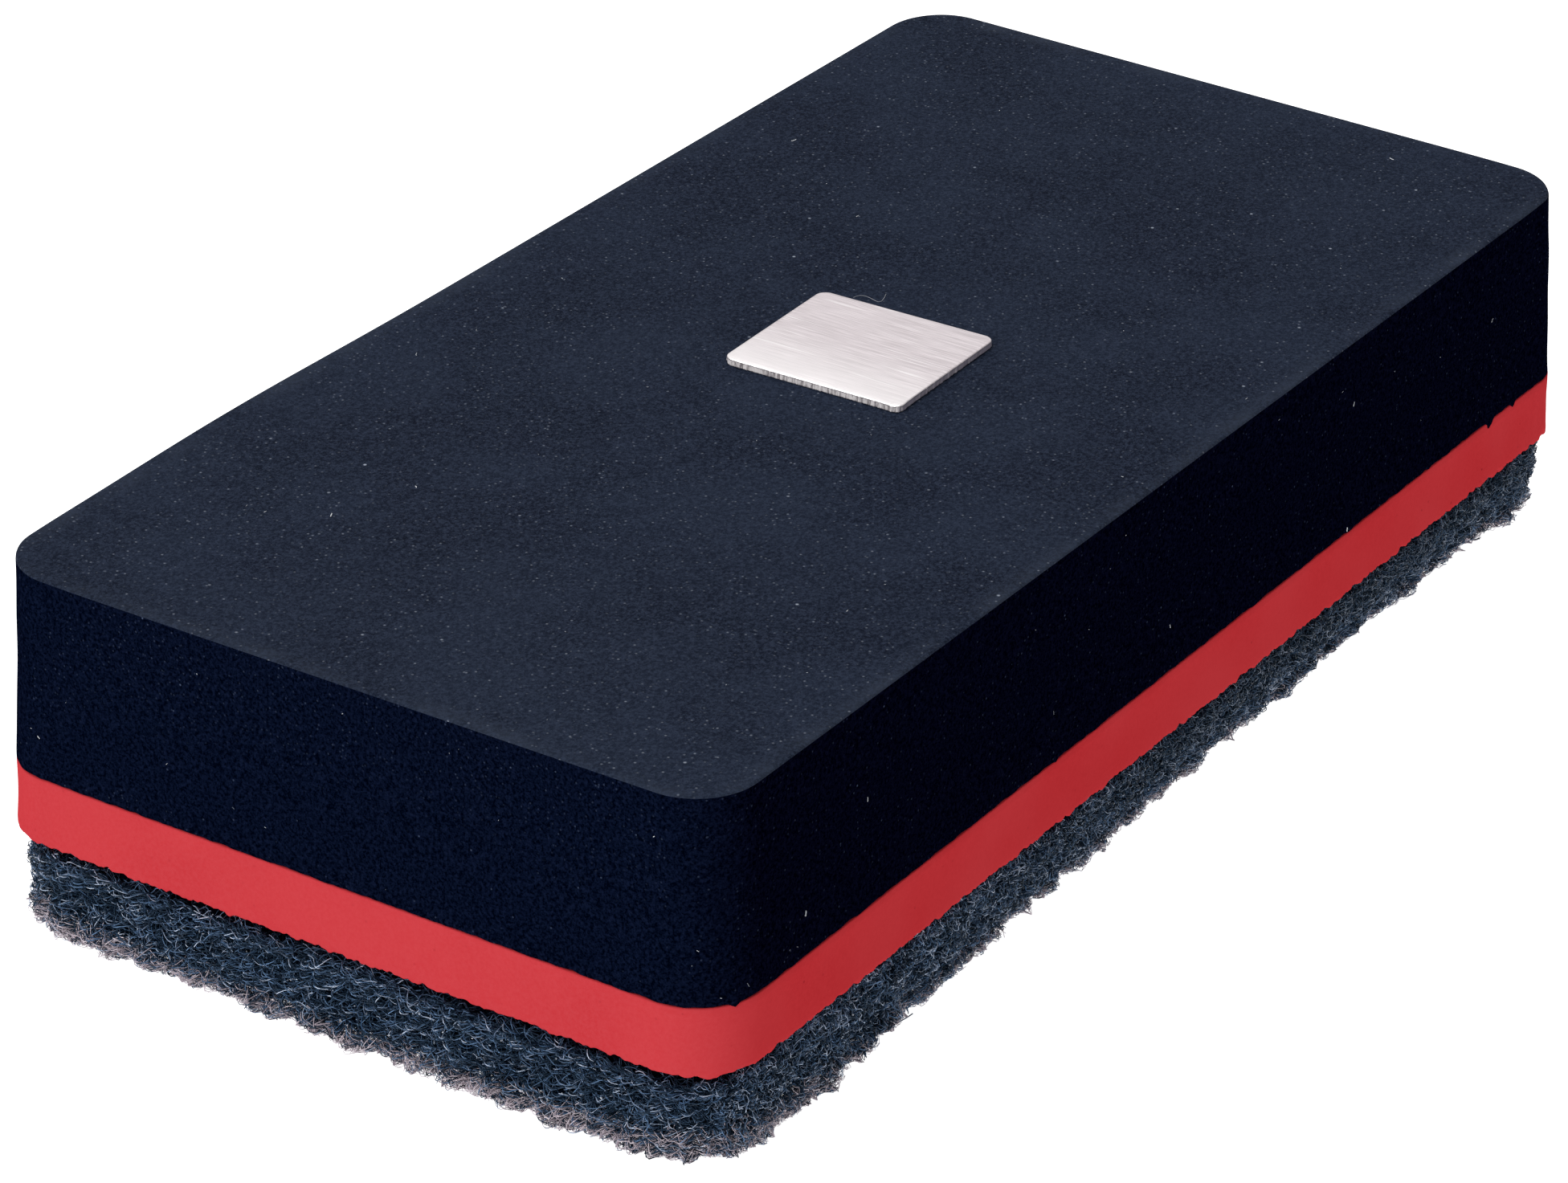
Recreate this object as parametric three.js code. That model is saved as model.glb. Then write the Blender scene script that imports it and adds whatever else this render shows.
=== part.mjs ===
// Magnetic board eraser: a foam holder of two bonded layers, with a metal badge on top, disc magnets
// sealed between the layers and hook strips underneath, standing on a lift-off pad of open fibre web.
// Millimetres, +Z up, +X along the length. The origin is under the middle of the pad, on what it rests on.
// The end at -X is the front, from which the badge is read, so +Y is the left side.
import * as THREE from "three";

// Outline of the two foam layers, cut through in one stroke
const BODY_LENGTH = 120;
const BODY_WIDTH = 61.4;
const BODY_CORNER_RADIUS = 4.8;

// Wiping pad, cut a little smaller than the foam
const PAD_INSET = 0.5;
const PAD_THICKNESS = 7.2;
const PAD_CORNER_RADIUS = 4.6;
const PAD_EDGE_ROUND = 1.4;

// Hook strips under the holder and the adhesive that carries them
const STRIP_LENGTH = 106;
const STRIP_WIDTH = 20;
const STRIP_THICKNESS = 0.75;
const STRIP_CORNER_RADIUS = 2;
const STRIP_OFFSET = 15;
const STRIP_ADHESIVE_THICKNESS = 0.15;
const STRIP_ADHESIVE_INSET = 0.3;

// Foam layers and the film that bonds them
const RED_THICKNESS = 5.4;
const FILM_THICKNESS = 0.1;
const FILM_INSET = 0.4;
const BLACK_THICKNESS = 15.8;

// Disc magnets, each in a round hole through the red layer
const MAGNET_RADIUS = 6;
const MAGNET_THICKNESS = 5;
const MAGNET_CHAMFER = 0.3;
const MAGNET_HOLE_CLEARANCE = 0.4;
const MAGNET_X = 38;

// Badge, a little off the middle of the top face
const BADGE_LENGTH = 13.8;
const BADGE_WIDTH = 15.3;
const BADGE_THICKNESS = 0.5;
const BADGE_CORNER_RADIUS = 1;
const BADGE_EDGE_ROUND = 0.15;
const BADGE_X = 1.7;
const BADGE_Y = -1.5;
const BADGE_ADHESIVE_THICKNESS = 0.1;
const BADGE_ADHESIVE_INSET = 0.6;

// Roundness of the faceted curves
const CORNER_SEGMENTS = 5;
const EDGE_SEGMENTS = 3;
const DISC_SEGMENTS = 32;

// Heights of the stack, from the resting face up
const STRIP_Z = PAD_THICKNESS;
const STRIP_ADHESIVE_Z = STRIP_Z + STRIP_THICKNESS;
const RED_Z = STRIP_ADHESIVE_Z + STRIP_ADHESIVE_THICKNESS;
const FILM_Z = RED_Z + RED_THICKNESS;
const BLACK_Z = FILM_Z + FILM_THICKNESS;
const TOP_Z = BLACK_Z + BLACK_THICKNESS;
const MAGNET_Z = FILM_Z - MAGNET_THICKNESS;

const FRONT_AND_REAR = [["front", -1], ["rear", 1]];
const LEFT_AND_RIGHT = [["left", 1], ["right", -1]];

const blackFoam = { color: 0x161d2a, roughness: 0.95, metalness: 0 };
const redFoam = { color: 0xc93a42, roughness: 0.9, metalness: 0 };
const fibreWeb = { color: 0x232f40, roughness: 1, metalness: 0 };
const hookPlastic = { color: 0x17181b, roughness: 0.6, metalness: 0 };
const nickelPlate = { color: 0xc9cbce, roughness: 0.2, metalness: 1 };
const brushedSteel = { color: 0xd8d4d3, roughness: 0.35, metalness: 1 };
const adhesive = { color: 0xd9d4c4, roughness: 0.5, metalness: 0 };

function roundedRectangle(length, width, radius) {
  const x = length / 2 - radius;
  const y = width / 2 - radius;
  const quarter = Math.PI / 2;
  return new THREE.Shape()
    .absarc(x, y, radius, 0, quarter)
    .absarc(-x, y, radius, quarter, 2 * quarter)
    .absarc(-x, -y, radius, 2 * quarter, 3 * quarter)
    .absarc(x, -y, radius, 3 * quarter, 4 * quarter)
    .closePath();
}

// A flat piece of the given outline, standing on z = 0, with both rims rounded by edgeRound.
function slab(outline, thickness, edgeRound = 0) {
  const geometry = new THREE.ExtrudeGeometry(outline, {
    depth: thickness - 2 * edgeRound,
    curveSegments: CORNER_SEGMENTS,
    bevelEnabled: edgeRound > 0,
    bevelThickness: edgeRound,
    bevelSize: edgeRound,
    bevelOffset: -edgeRound,
    bevelSegments: EDGE_SEGMENTS,
  });
  return geometry.translate(0, 0, edgeRound);
}

function piece(name, geometry, finish, x, y, z) {
  const mesh = new THREE.Mesh(geometry, new THREE.MeshStandardMaterial(finish));
  mesh.name = name;
  mesh.position.set(x, y, z);
  return mesh;
}

function magnetPlaces() {
  return FRONT_AND_REAR.flatMap(([end, alongX]) =>
    LEFT_AND_RIGHT.map(([side, alongY]) => ({
      name: `magnet_${end}_${side}`,
      x: alongX * MAGNET_X,
      y: alongY * STRIP_OFFSET,
    })),
  );
}

function makeWipingPad() {
  const length = BODY_LENGTH - 2 * PAD_INSET;
  const width = BODY_WIDTH - 2 * PAD_INSET;
  const outline = roundedRectangle(length, width, PAD_CORNER_RADIUS);
  return piece("wiping_pad", slab(outline, PAD_THICKNESS, PAD_EDGE_ROUND), fibreWeb, 0, 0, 0);
}

function makeRedFoamLayer() {
  const outline = roundedRectangle(BODY_LENGTH, BODY_WIDTH, BODY_CORNER_RADIUS);
  for (const { x, y } of magnetPlaces()) {
    const hole = new THREE.Path().absarc(x, y, MAGNET_RADIUS + MAGNET_HOLE_CLEARANCE, 0, 2 * Math.PI);
    outline.holes.push(hole);
  }
  return piece("red_foam_layer", slab(outline, RED_THICKNESS), redFoam, 0, 0, RED_Z);
}

function makeFoamBondFilm() {
  const length = BODY_LENGTH - 2 * FILM_INSET;
  const width = BODY_WIDTH - 2 * FILM_INSET;
  const outline = roundedRectangle(length, width, BODY_CORNER_RADIUS - FILM_INSET);
  return piece("foam_bond_film", slab(outline, FILM_THICKNESS), adhesive, 0, 0, FILM_Z);
}

function makeBlackFoamBody() {
  const outline = roundedRectangle(BODY_LENGTH, BODY_WIDTH, BODY_CORNER_RADIUS);
  return piece("black_foam_body", slab(outline, BLACK_THICKNESS), blackFoam, 0, 0, BLACK_Z);
}

function makeMagnets() {
  const flatRadius = MAGNET_RADIUS - MAGNET_CHAMFER;
  const profile = [
    [0, 0],
    [flatRadius, 0],
    [MAGNET_RADIUS, MAGNET_CHAMFER],
    [MAGNET_RADIUS, MAGNET_THICKNESS - MAGNET_CHAMFER],
    [flatRadius, MAGNET_THICKNESS],
    [0, MAGNET_THICKNESS],
  ].map(([radius, height]) => new THREE.Vector2(radius, height));
  return magnetPlaces().map(({ name, x, y }) => {
    const disc = new THREE.LatheGeometry(profile, DISC_SEGMENTS).rotateX(Math.PI / 2);
    return piece(name, disc, nickelPlate, x, y, MAGNET_Z);
  });
}

function makeHookStrips() {
  const strip = roundedRectangle(STRIP_LENGTH, STRIP_WIDTH, STRIP_CORNER_RADIUS);
  const glue = roundedRectangle(
    STRIP_LENGTH - 2 * STRIP_ADHESIVE_INSET,
    STRIP_WIDTH - 2 * STRIP_ADHESIVE_INSET,
    STRIP_CORNER_RADIUS - STRIP_ADHESIVE_INSET,
  );
  return LEFT_AND_RIGHT.flatMap(([side, alongY]) => {
    const name = `hook_strip_${side}`;
    const y = alongY * STRIP_OFFSET;
    const glueFilm = slab(glue, STRIP_ADHESIVE_THICKNESS);
    return [
      piece(name, slab(strip, STRIP_THICKNESS), hookPlastic, 0, y, STRIP_Z),
      piece(`${name}_adhesive`, glueFilm, adhesive, 0, y, STRIP_ADHESIVE_Z),
    ];
  });
}

function makeBadge() {
  const plate = roundedRectangle(BADGE_LENGTH, BADGE_WIDTH, BADGE_CORNER_RADIUS);
  const tape = roundedRectangle(
    BADGE_LENGTH - 2 * BADGE_ADHESIVE_INSET,
    BADGE_WIDTH - 2 * BADGE_ADHESIVE_INSET,
    BADGE_CORNER_RADIUS - BADGE_ADHESIVE_INSET,
  );
  const plateSolid = slab(plate, BADGE_THICKNESS, BADGE_EDGE_ROUND);
  const tapeSolid = slab(tape, BADGE_ADHESIVE_THICKNESS);
  return [
    piece("badge_adhesive", tapeSolid, adhesive, BADGE_X, BADGE_Y, TOP_Z),
    piece("badge_plate", plateSolid, brushedSteel, BADGE_X, BADGE_Y, TOP_Z + BADGE_ADHESIVE_THICKNESS),
  ];
}

const holder = new THREE.Group();
holder.add(makeRedFoamLayer(), makeFoamBondFilm(), makeBlackFoamBody());
holder.add(...makeMagnets(), ...makeHookStrips(), ...makeBadge());

const eraser = new THREE.Group();
eraser.add(makeWipingPad(), holder);

export default eraser;
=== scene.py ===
"""Chalkboard eraser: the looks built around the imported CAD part.

Shapes are worked out in millimetres in the frame's own axes and turned into metres when a mesh is made.
+X runs along the length to the rear, +Y to the left side, +Z up from the pad to the badge.
"""
import math
from collections import namedtuple

import bpy
import numpy as np
from mathutils import Matrix, Vector
from mathutils.geometry import delaunay_2d_cdt


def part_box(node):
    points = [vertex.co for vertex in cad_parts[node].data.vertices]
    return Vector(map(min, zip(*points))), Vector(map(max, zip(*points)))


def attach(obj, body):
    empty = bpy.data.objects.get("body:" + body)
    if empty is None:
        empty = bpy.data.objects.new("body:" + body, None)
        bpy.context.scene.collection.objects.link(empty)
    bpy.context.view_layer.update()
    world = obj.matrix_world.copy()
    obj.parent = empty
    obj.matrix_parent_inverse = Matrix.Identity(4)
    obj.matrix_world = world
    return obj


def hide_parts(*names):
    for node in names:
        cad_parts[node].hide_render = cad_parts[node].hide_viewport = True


MM = 0.001

# Plan shapes that the frame's boxes don't tell, in millimetres
BODY_CORNER_RADIUS = 4.8
PAD_CORNER_RADIUS = 4.6
BADGE_CORNER_RADIUS = 0.9
STRIP_CORNER_RADIUS = 2
MAGNET_HOLE_CLEARANCE = 0.4

# Camera, from the middle of the holder's top face
CAMERA_PLACE = (-344.8, -224.8, 199.9)
CAMERA_AIM = (-32.5, -17.6, 0.0)
CAMERA_ROLL_DEG = 0.33
CAMERA_LENS = 141.9
CAMERA_SENSOR = 36.0

# Light-table floor and white surroundings, which keep shadows pale
FLOOR_GLOW = 0.93
FLOOR_REACH_M = 3.0
SKY_GLOW = 0.45

# Foam cutting: the sides lean out a little and the block is a little out of square
OUTLINE_STEP = 0.2
CAP_STEP = 2.0
CUT_WAVE = 0.015
SIDE_LEAN = 0.025
CORNER_LEAN = 0.026
SIDE_BOW = 0.08
LEFT_SHIFT = 0.06
FRONT_LEFT_CUT = 0.35
REAR_RIGHT_CUT = 0.3
LEFT_BULGE = 0.55
LEFT_BULGE_AT = -32
LEFT_BULGE_REACH = 16
LEFT_TAPER = 0.004
REAR_SHIFT = 0.19
REAR_SLANT = 0.024
SQUARE_REACH = 12
REAR_CUT_HEIGHT = 5
BLACK_SIDE_ROWS = 18
BLACK_LIP_DROP = 0.036
RED_SIDE_ROWS = 9
RED_BITE = 0.16
DEEPEST_BITE = 0.26
EDGE_WOBBLE = 0.035
NICK_COUNT = 5
NICK_DEPTH = 0.32
NICK_BULGE = 0.07
RIGHT_SIDE_NICKS = ((-57.3, 0.7), (46.7, 1.4), (47.2, 1.0), (51.0, 1.2))

# Soft edges, as inset and drop from the top face or inset and rise from the lower edge
FOAM_CROWN = ((0.015, 0.16), (0.06, 0.06), (0.16, 0.012), (0.3, 0.0), (0.5, 0.0))
RED_FOOT = ((0.32, 0.02), (0.16, 0.07), (0.08, 0.18))
BADGE_DOME = ((0.0, 0.12), (0.012, 0.08), (0.045, 0.05), (0.11, 0.034), (0.21, 0.022), (0.36, 0.012),
              (0.52, 0.006), (0.7, 0.002), (0.85, 0.0))

# Badge, stuck on by hand and so turned a little
BADGE_TURN_DEG = 1.2
BADGE_SHARP_CORNER = 0.22
BADGE_STEP = 0.06
BADGE_TEAR = (0.03, 0.02)
BADGE_SHEAR_TOP = 0.72

# Fibre web: each kind has its count, its length, the depths it starts at, the lift of its free end
# and its thickness as a range of shares of the radius
FibreKind = namedtuple("FibreKind", "count length depths lift thickness")
SIDE_FIBRES = FibreKind(22000, 3.25, (0.0, 0.8), 0.04, (0.65, 1.1))
PALE_FIBRES = FibreKind(12000, 1.5, (0.0, 0.3), 0.03, (0.5, 0.9))
EDGE_FUZZ = FibreKind(19000, 1.5, (-0.08, 1.1), 0.03, (0.4, 0.75))
TOP_FIBRES = FibreKind(5200, 8.0, (0.0, 0.8), 0.0, (0.8, 1.3))
UNDER_FIBRES = TOP_FIBRES._replace(count=4200)
# Pale fibres lie fully on the long sides and at this share on the ends: painted highlight that brightens
# the long sides.
PALE_END_SHARE = 0.36
FUZZ_REAR_SHARE = 0.5
FIBRE_STEP = 0.25
FIBRE_RADIUS = 0.042

# Wavelengths of the fibres' crimp, then its amount on the ends and what the long sides add, and the
# weave in and out
LONG_CRIMP = 5.0
SHORT_CRIMP = 1.9
KINK_LENGTH = 0.9
SIDE_SWING = (0.3, 0.7)
SIDE_SPREAD = (0.5, 0.7)
SIDE_KINKS = 1.3
WEAVE = 0.3
SHEET_WEAVE = 0.25

# Lumps in the web, each with what the zone along the lower edge adds
SWELL = (0.09, 0.12)
TUFT = (0.1, 0.14)
LOW_EDGE_ZONE = 2.5

# Tufts on the lower edge, and beads of binder
TUFTS = 620
TUFT_STRANDS = 8
LONGEST_TUFT = 0.7
BEADS = 320
BEAD_LENGTH = 0.14

# The pad's outline, its wear and the fringe at its front corners
PIECE_TRIANGLES = 190_000
EDGE_REACH = 4.6
PAD_SPREAD = 0.35
PAD_PUFF = 0.55
FRONT_GAP = 0.8
PAD_TOP_ROUND = 0.5
PAD_BOTTOM_ROUND = 1.0
SIDE_WEAR = (0.15, 3.1)
WEAR_CURVE = 1.4
WEAR_LENGTH = 40
END_WEAR = 0.45
FRONT_ZONE = 5
FRONT_FADE = 4
FRONT_RIGHT_WEAR = 1.6
FRONT_RIGHT_REACH = 7
FRONT_LEFT_SPREAD = 0.15
REAR_RIGHT_SPREAD = (0.2, 2.8)
SPREAD_REACH = 6
FRINGE_RISE = 1.3
FRINGE_SPREAD = 12
GLINT_TINT = (0.4, 0.72, 1.0, 1.0)
CORE_DEPTH = 0.95
CORE_FOOT = 0.9

# Where shade is painted on the pad, from not at all to fully: depths from its long sides, distances from
# its front and shares of its height
SHADE_DEPTHS = (4.5, 3)
SHADE_FROM_FRONT = (30, 60)
SHADE_HEIGHTS = (0.3, 0.8)

# Paler band along the edge of the top skin
BORDER_WIDTH = 1.8

# Lint on the foam: how many small pieces, and where the larger ones lie
TOP_LINT = 60
SIDE_LINT = 60
TOP_FLECKS = ((31.8, 24.1), (55.1, -17.3), (-40.6, 15.2))
RIGHT_SIDE_FLECKS = ((24.0, -15.7), (24.6, -5.5), (-2.2, -12.3), (-49.9, -12.8))
HAIR_COURSE = ((9.6, 4.2), (10.3, 3.7), (10.15, 2.8), (10.1, 2.15), (11.5, 2.5))

# Hook tape, with the course of one hook along the tape and up from the backing
HOOK_PITCH = (1.25, 1.0)
HOOK_MARGIN = 0.9
HOOK_BACKING = 0.35
HOOK_WIRE = 0.09
HOOK_BEND = ((0.0, 0.05), (0.0, -0.18), (0.02, -0.34), (0.12, -0.43), (0.24, -0.4), (0.28, -0.3))

# Roundness of curves, guards in the geometry, and a full turn as random angles are drawn from it
ARC_POINTS = 24
HOLE_POINTS = 48
WELD_GAP = 1e-5
TINY = 1e-9
FULL_TURN = 6.28


# -------- plans and skins


class Plan:
    """A rounded rectangle centred on the origin, walked anticlockwise by distance."""

    def __init__(self, length, width, radius):
        self.half = np.array([length, width]) / 2 - radius
        self.radius = radius
        quarter = np.linspace(0, math.pi / 2, ARC_POINTS)
        turn = np.concatenate([quarter + corner * math.pi / 2 for corner in range(4)])
        signs = np.repeat([(1, 1), (-1, 1), (-1, -1), (1, -1)], ARC_POINTS, axis=0)
        self.normals = np.stack([np.cos(turn), np.sin(turn)], 1)
        self.points = signs * self.half + radius * self.normals
        self.normals = np.append(self.normals, self.normals[:1], axis=0)
        self.points = np.append(self.points, self.points[:1], axis=0)
        gaps = np.linalg.norm(np.diff(self.points, axis=0), axis=1)
        self.along = np.append(0, np.cumsum(gaps))
        self.perimeter = self.along[-1]

    def at(self, distance):
        """Points and outward normals at these distances."""
        where = np.mod(distance, self.perimeter)
        points = [np.interp(where, self.along, self.points[:, k]) for k in (0, 1)]
        normals = np.stack([np.interp(where, self.along, self.normals[:, k]) for k in (0, 1)], -1)
        return np.stack(points, -1), normals / np.linalg.norm(normals, axis=-1, keepdims=True)

    def stops(self, step):
        """Even distances round the plan, about step apart."""
        count = round(self.perimeter / step)
        return np.arange(count) * self.perimeter / count

    def depth(self, points):
        """How far inside the outline each point is, less than 0 outside it."""
        past = np.abs(points) - self.half
        outside = np.linalg.norm(np.maximum(past, 0), axis=-1)
        return self.radius - outside - np.minimum(past.max(-1), 0)

    def grid(self, step, depth):
        """A grid of points at least that deep inside the outline."""
        reach = self.half + self.radius
        counts = np.ceil(2 * reach / step).astype(int) + 1
        axes = [np.linspace(-r, r, n) for r, n in zip(reach, counts)]
        points = np.stack(np.meshgrid(*axes), -1).reshape(-1, 2)
        return points[self.depth(points) > depth]


class Shell:
    """The skin of a flat block. u runs round the plan; v runs from the top face over the edge, down
    the side and under the bottom edge to the bottom face; w is the depth inwards."""

    def __init__(self, plan, height, top_round, bottom_round, reach):
        turn = np.linspace(0, math.pi / 2, ARC_POINTS)
        top = np.stack([top_round * (1 - np.sin(turn)), height - top_round * (1 - np.cos(turn))], 1)
        bottom = bottom_round * np.stack([1 - np.cos(turn), 1 - np.sin(turn)], 1)
        top_inward = np.stack([np.sin(turn), -np.cos(turn)], 1)
        bottom_inward = np.stack([np.cos(turn), np.sin(turn)], 1)
        self.plan = plan
        self.rows = np.concatenate([[(reach, height)], top, bottom, [(reach, 0)]])
        self.inward = np.concatenate([[(0, -1)], top_inward, bottom_inward, [(0, 1)]])
        gaps = np.linalg.norm(np.diff(self.rows, axis=0), axis=1)
        self.along = np.append(0, np.cumsum(gaps))
        self.span = self.along[-1]
        self.side_start = self.along[ARC_POINTS]
        self.side_end = self.along[ARC_POINTS + 1]

    def place(self, u, v, w):
        """Points in space for arrays of u, v and w."""
        row = [np.interp(v, self.along, self.rows[:, k]) for k in (0, 1)]
        inward = [np.interp(v, self.along, self.inward[:, k]) for k in (0, 1)]
        points, normals = self.plan.at(u)
        inset = row[0] + w * inward[0]
        flat = points - normals * inset[..., None]
        return np.concatenate([flat, (row[1] + w * inward[1])[..., None]], -1)


def plane_waves(rng, count, shortest, longest):
    """A smooth random field over two coordinates, with waves of these lengths and a spread of 1."""
    turn = rng.uniform(0, 2 * math.pi, count)
    pace = 2 * math.pi / rng.uniform(shortest, longest, count)
    phase = rng.uniform(0, 2 * math.pi, count)

    def field(a, b):
        total = np.zeros(np.broadcast(a, b).shape)
        for along_a, along_b, start in zip(pace * np.cos(turn), pace * np.sin(turn), phase):
            total += np.sin(along_a * a + along_b * b + start)
        return total / math.sqrt(count / 2)

    return field


def pulled(points, corner, amount, reach):
    """The points with those near a corner of the plan moved out along its diagonal, or in if amount
    is less than 0."""
    corner = np.array(corner)
    share = np.exp(-((np.linalg.norm(points[..., :2] - corner, axis=-1) / reach) ** 2))
    moved = points.copy()
    moved[..., :2] += (share * amount)[..., None] * np.sign(corner) / math.sqrt(2)
    return moved


# -------- meshes


def linked(name, data):
    """A new object in the scene."""
    made = bpy.data.objects.new(name, data)
    bpy.context.scene.collection.objects.link(made)
    return made


def make_piece(name, vertices, faces, materials, body, face_slots=None):
    """A smooth-shaded object from millimetre vertices and arrays of faces, riding on a body."""
    mesh = bpy.data.meshes.new(name)
    corners = np.concatenate([group.reshape(-1) for group in faces])
    sizes = np.concatenate([np.full(len(group), group.shape[1]) for group in faces])
    starts = np.append(0, np.cumsum(sizes)[:-1])
    mesh.vertices.add(len(vertices))
    mesh.vertices.foreach_set("co", (vertices * MM).astype(np.float32).reshape(-1))
    mesh.loops.add(len(corners))
    mesh.loops.foreach_set("vertex_index", corners.astype(np.int32))
    mesh.polygons.add(len(sizes))
    mesh.polygons.foreach_set("loop_start", starts.astype(np.int32))
    mesh.polygons.foreach_set("use_smooth", np.ones(len(sizes), bool))
    if face_slots is not None:
        mesh.polygons.foreach_set("material_index", face_slots.astype(np.int32))
    mesh.update(calc_edges=True)
    for material in materials:
        mesh.materials.append(material)
    piece = linked(name, mesh)
    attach(piece, body)
    return piece


def fill_loops(loops, inner, outside_hole):
    """Triangles inside the first loop, through the inner points and round the other loops."""
    points = np.concatenate([*loops, inner])
    edges, start = [], 0
    for loop in loops:
        ids = np.arange(len(loop)) + start
        edges += list(zip(ids.tolist(), np.roll(ids, -1).tolist()))
        start += len(loop)
    found = delaunay_2d_cdt([Vector(p) for p in points.tolist()], edges, [], 1, WELD_GAP)
    first = np.array([origin[0] for origin in found[3]])
    triangles = first[np.array(found[2])]
    return triangles[outside_hole(points[triangles].mean(1))]


def close_block(rings, plan, fill_step, relief=None, holes=()):
    """A closed block from rings of points, bottom first. relief(x, y) lifts the inner points of both
    caps, and holes are loops that go straight through."""
    count, around = rings.shape[:2]
    vertices = [rings.reshape(-1, 3)]
    here = np.arange(around)
    ahead = np.roll(here, -1)
    low = (np.arange(count - 1) * around)[:, None]
    walls = np.stack([low + here, low + ahead, low + around + ahead, low + around + here], -1)
    quads, triangles, total = [walls.reshape(-1, 4)], [], count * around

    def clear_of_holes(points):
        keep = np.ones(len(points), bool)
        for hole in holes:
            middle = hole.mean(0)
            keep &= np.linalg.norm(points - middle, axis=1) > np.linalg.norm(hole[0] - middle)
        return keep

    hole_ids = []
    for ring, row, turned in ((rings[0], 0, True), (rings[-1], count - 1, False)):
        inset = plan.depth(ring[:, :2]).mean()
        inner = plan.grid(fill_step, inset + fill_step / 2)
        inner = inner[clear_of_holes(inner)]
        loops = [ring[:, :2], *holes]
        filled = fill_loops(loops, inner, clear_of_holes)
        rim = np.concatenate([*holes, inner]) if holes else inner
        height = np.full(len(rim), ring[:, 2].mean())
        if relief is not None:
            height = height + relief(rim[:, 0], rim[:, 1])
        vertices.append(np.column_stack([rim, height]))
        ids = np.concatenate([row * around + here, total + np.arange(len(rim))])
        triangles.append(ids[filled][:, ::-1] if turned else ids[filled])
        hole_ids.append(total + np.arange(sum(map(len, holes))))
        total += len(rim)
    start = 0
    for hole in holes:
        ids = np.arange(len(hole)) + start
        ends = np.roll(ids, -1)
        lower, upper = hole_ids
        quads.append(np.stack([lower[ids], upper[ids], upper[ends], lower[ends]], -1))
        start += len(hole)
    return np.concatenate(vertices), [np.concatenate(quads), np.concatenate(triangles)]


def tubes(paths, radii, sides):
    """Closed tubes along paths, an array of tubes by points by xyz, each with its own radius."""
    count, steps = paths.shape[:2]
    tangents = np.gradient(paths, axis=1)
    tangents /= np.maximum(np.linalg.norm(tangents, axis=2, keepdims=True), TINY)
    any_other_way = np.roll(tangents[:, 0], 1, axis=1) + (0.31, 0.17, 0.53)
    across = np.cross(tangents[:, 0], any_other_way)
    normals = np.empty_like(paths)
    for step in range(steps):
        here = tangents[:, step]
        across = across - (across * here).sum(1, keepdims=True) * here
        across /= np.maximum(np.linalg.norm(across, axis=1, keepdims=True), TINY)
        normals[:, step] = across
    sideways = np.cross(tangents, normals)
    turn = np.arange(sides) * 2 * math.pi / sides
    spokes = np.cos(turn)[:, None] * normals[:, :, None] + np.sin(turn)[:, None] * sideways[:, :, None]
    vertices = (paths[:, :, None] + radii[:, None, None, None] * spokes).reshape(-1, 3)
    first = (np.arange(count) * steps * sides)[:, None, None]
    low = first + (np.arange(steps - 1) * sides)[None, :, None]
    here = np.arange(sides)
    ahead = np.roll(here, -1)
    walls = np.stack([low + here, low + ahead, low + sides + ahead, low + sides + here], -1)
    ends = first[:, 0] + here
    return vertices, [walls.reshape(-1, 4), ends[:, ::-1], ends + (steps - 1) * sides]


# -------- materials


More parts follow.
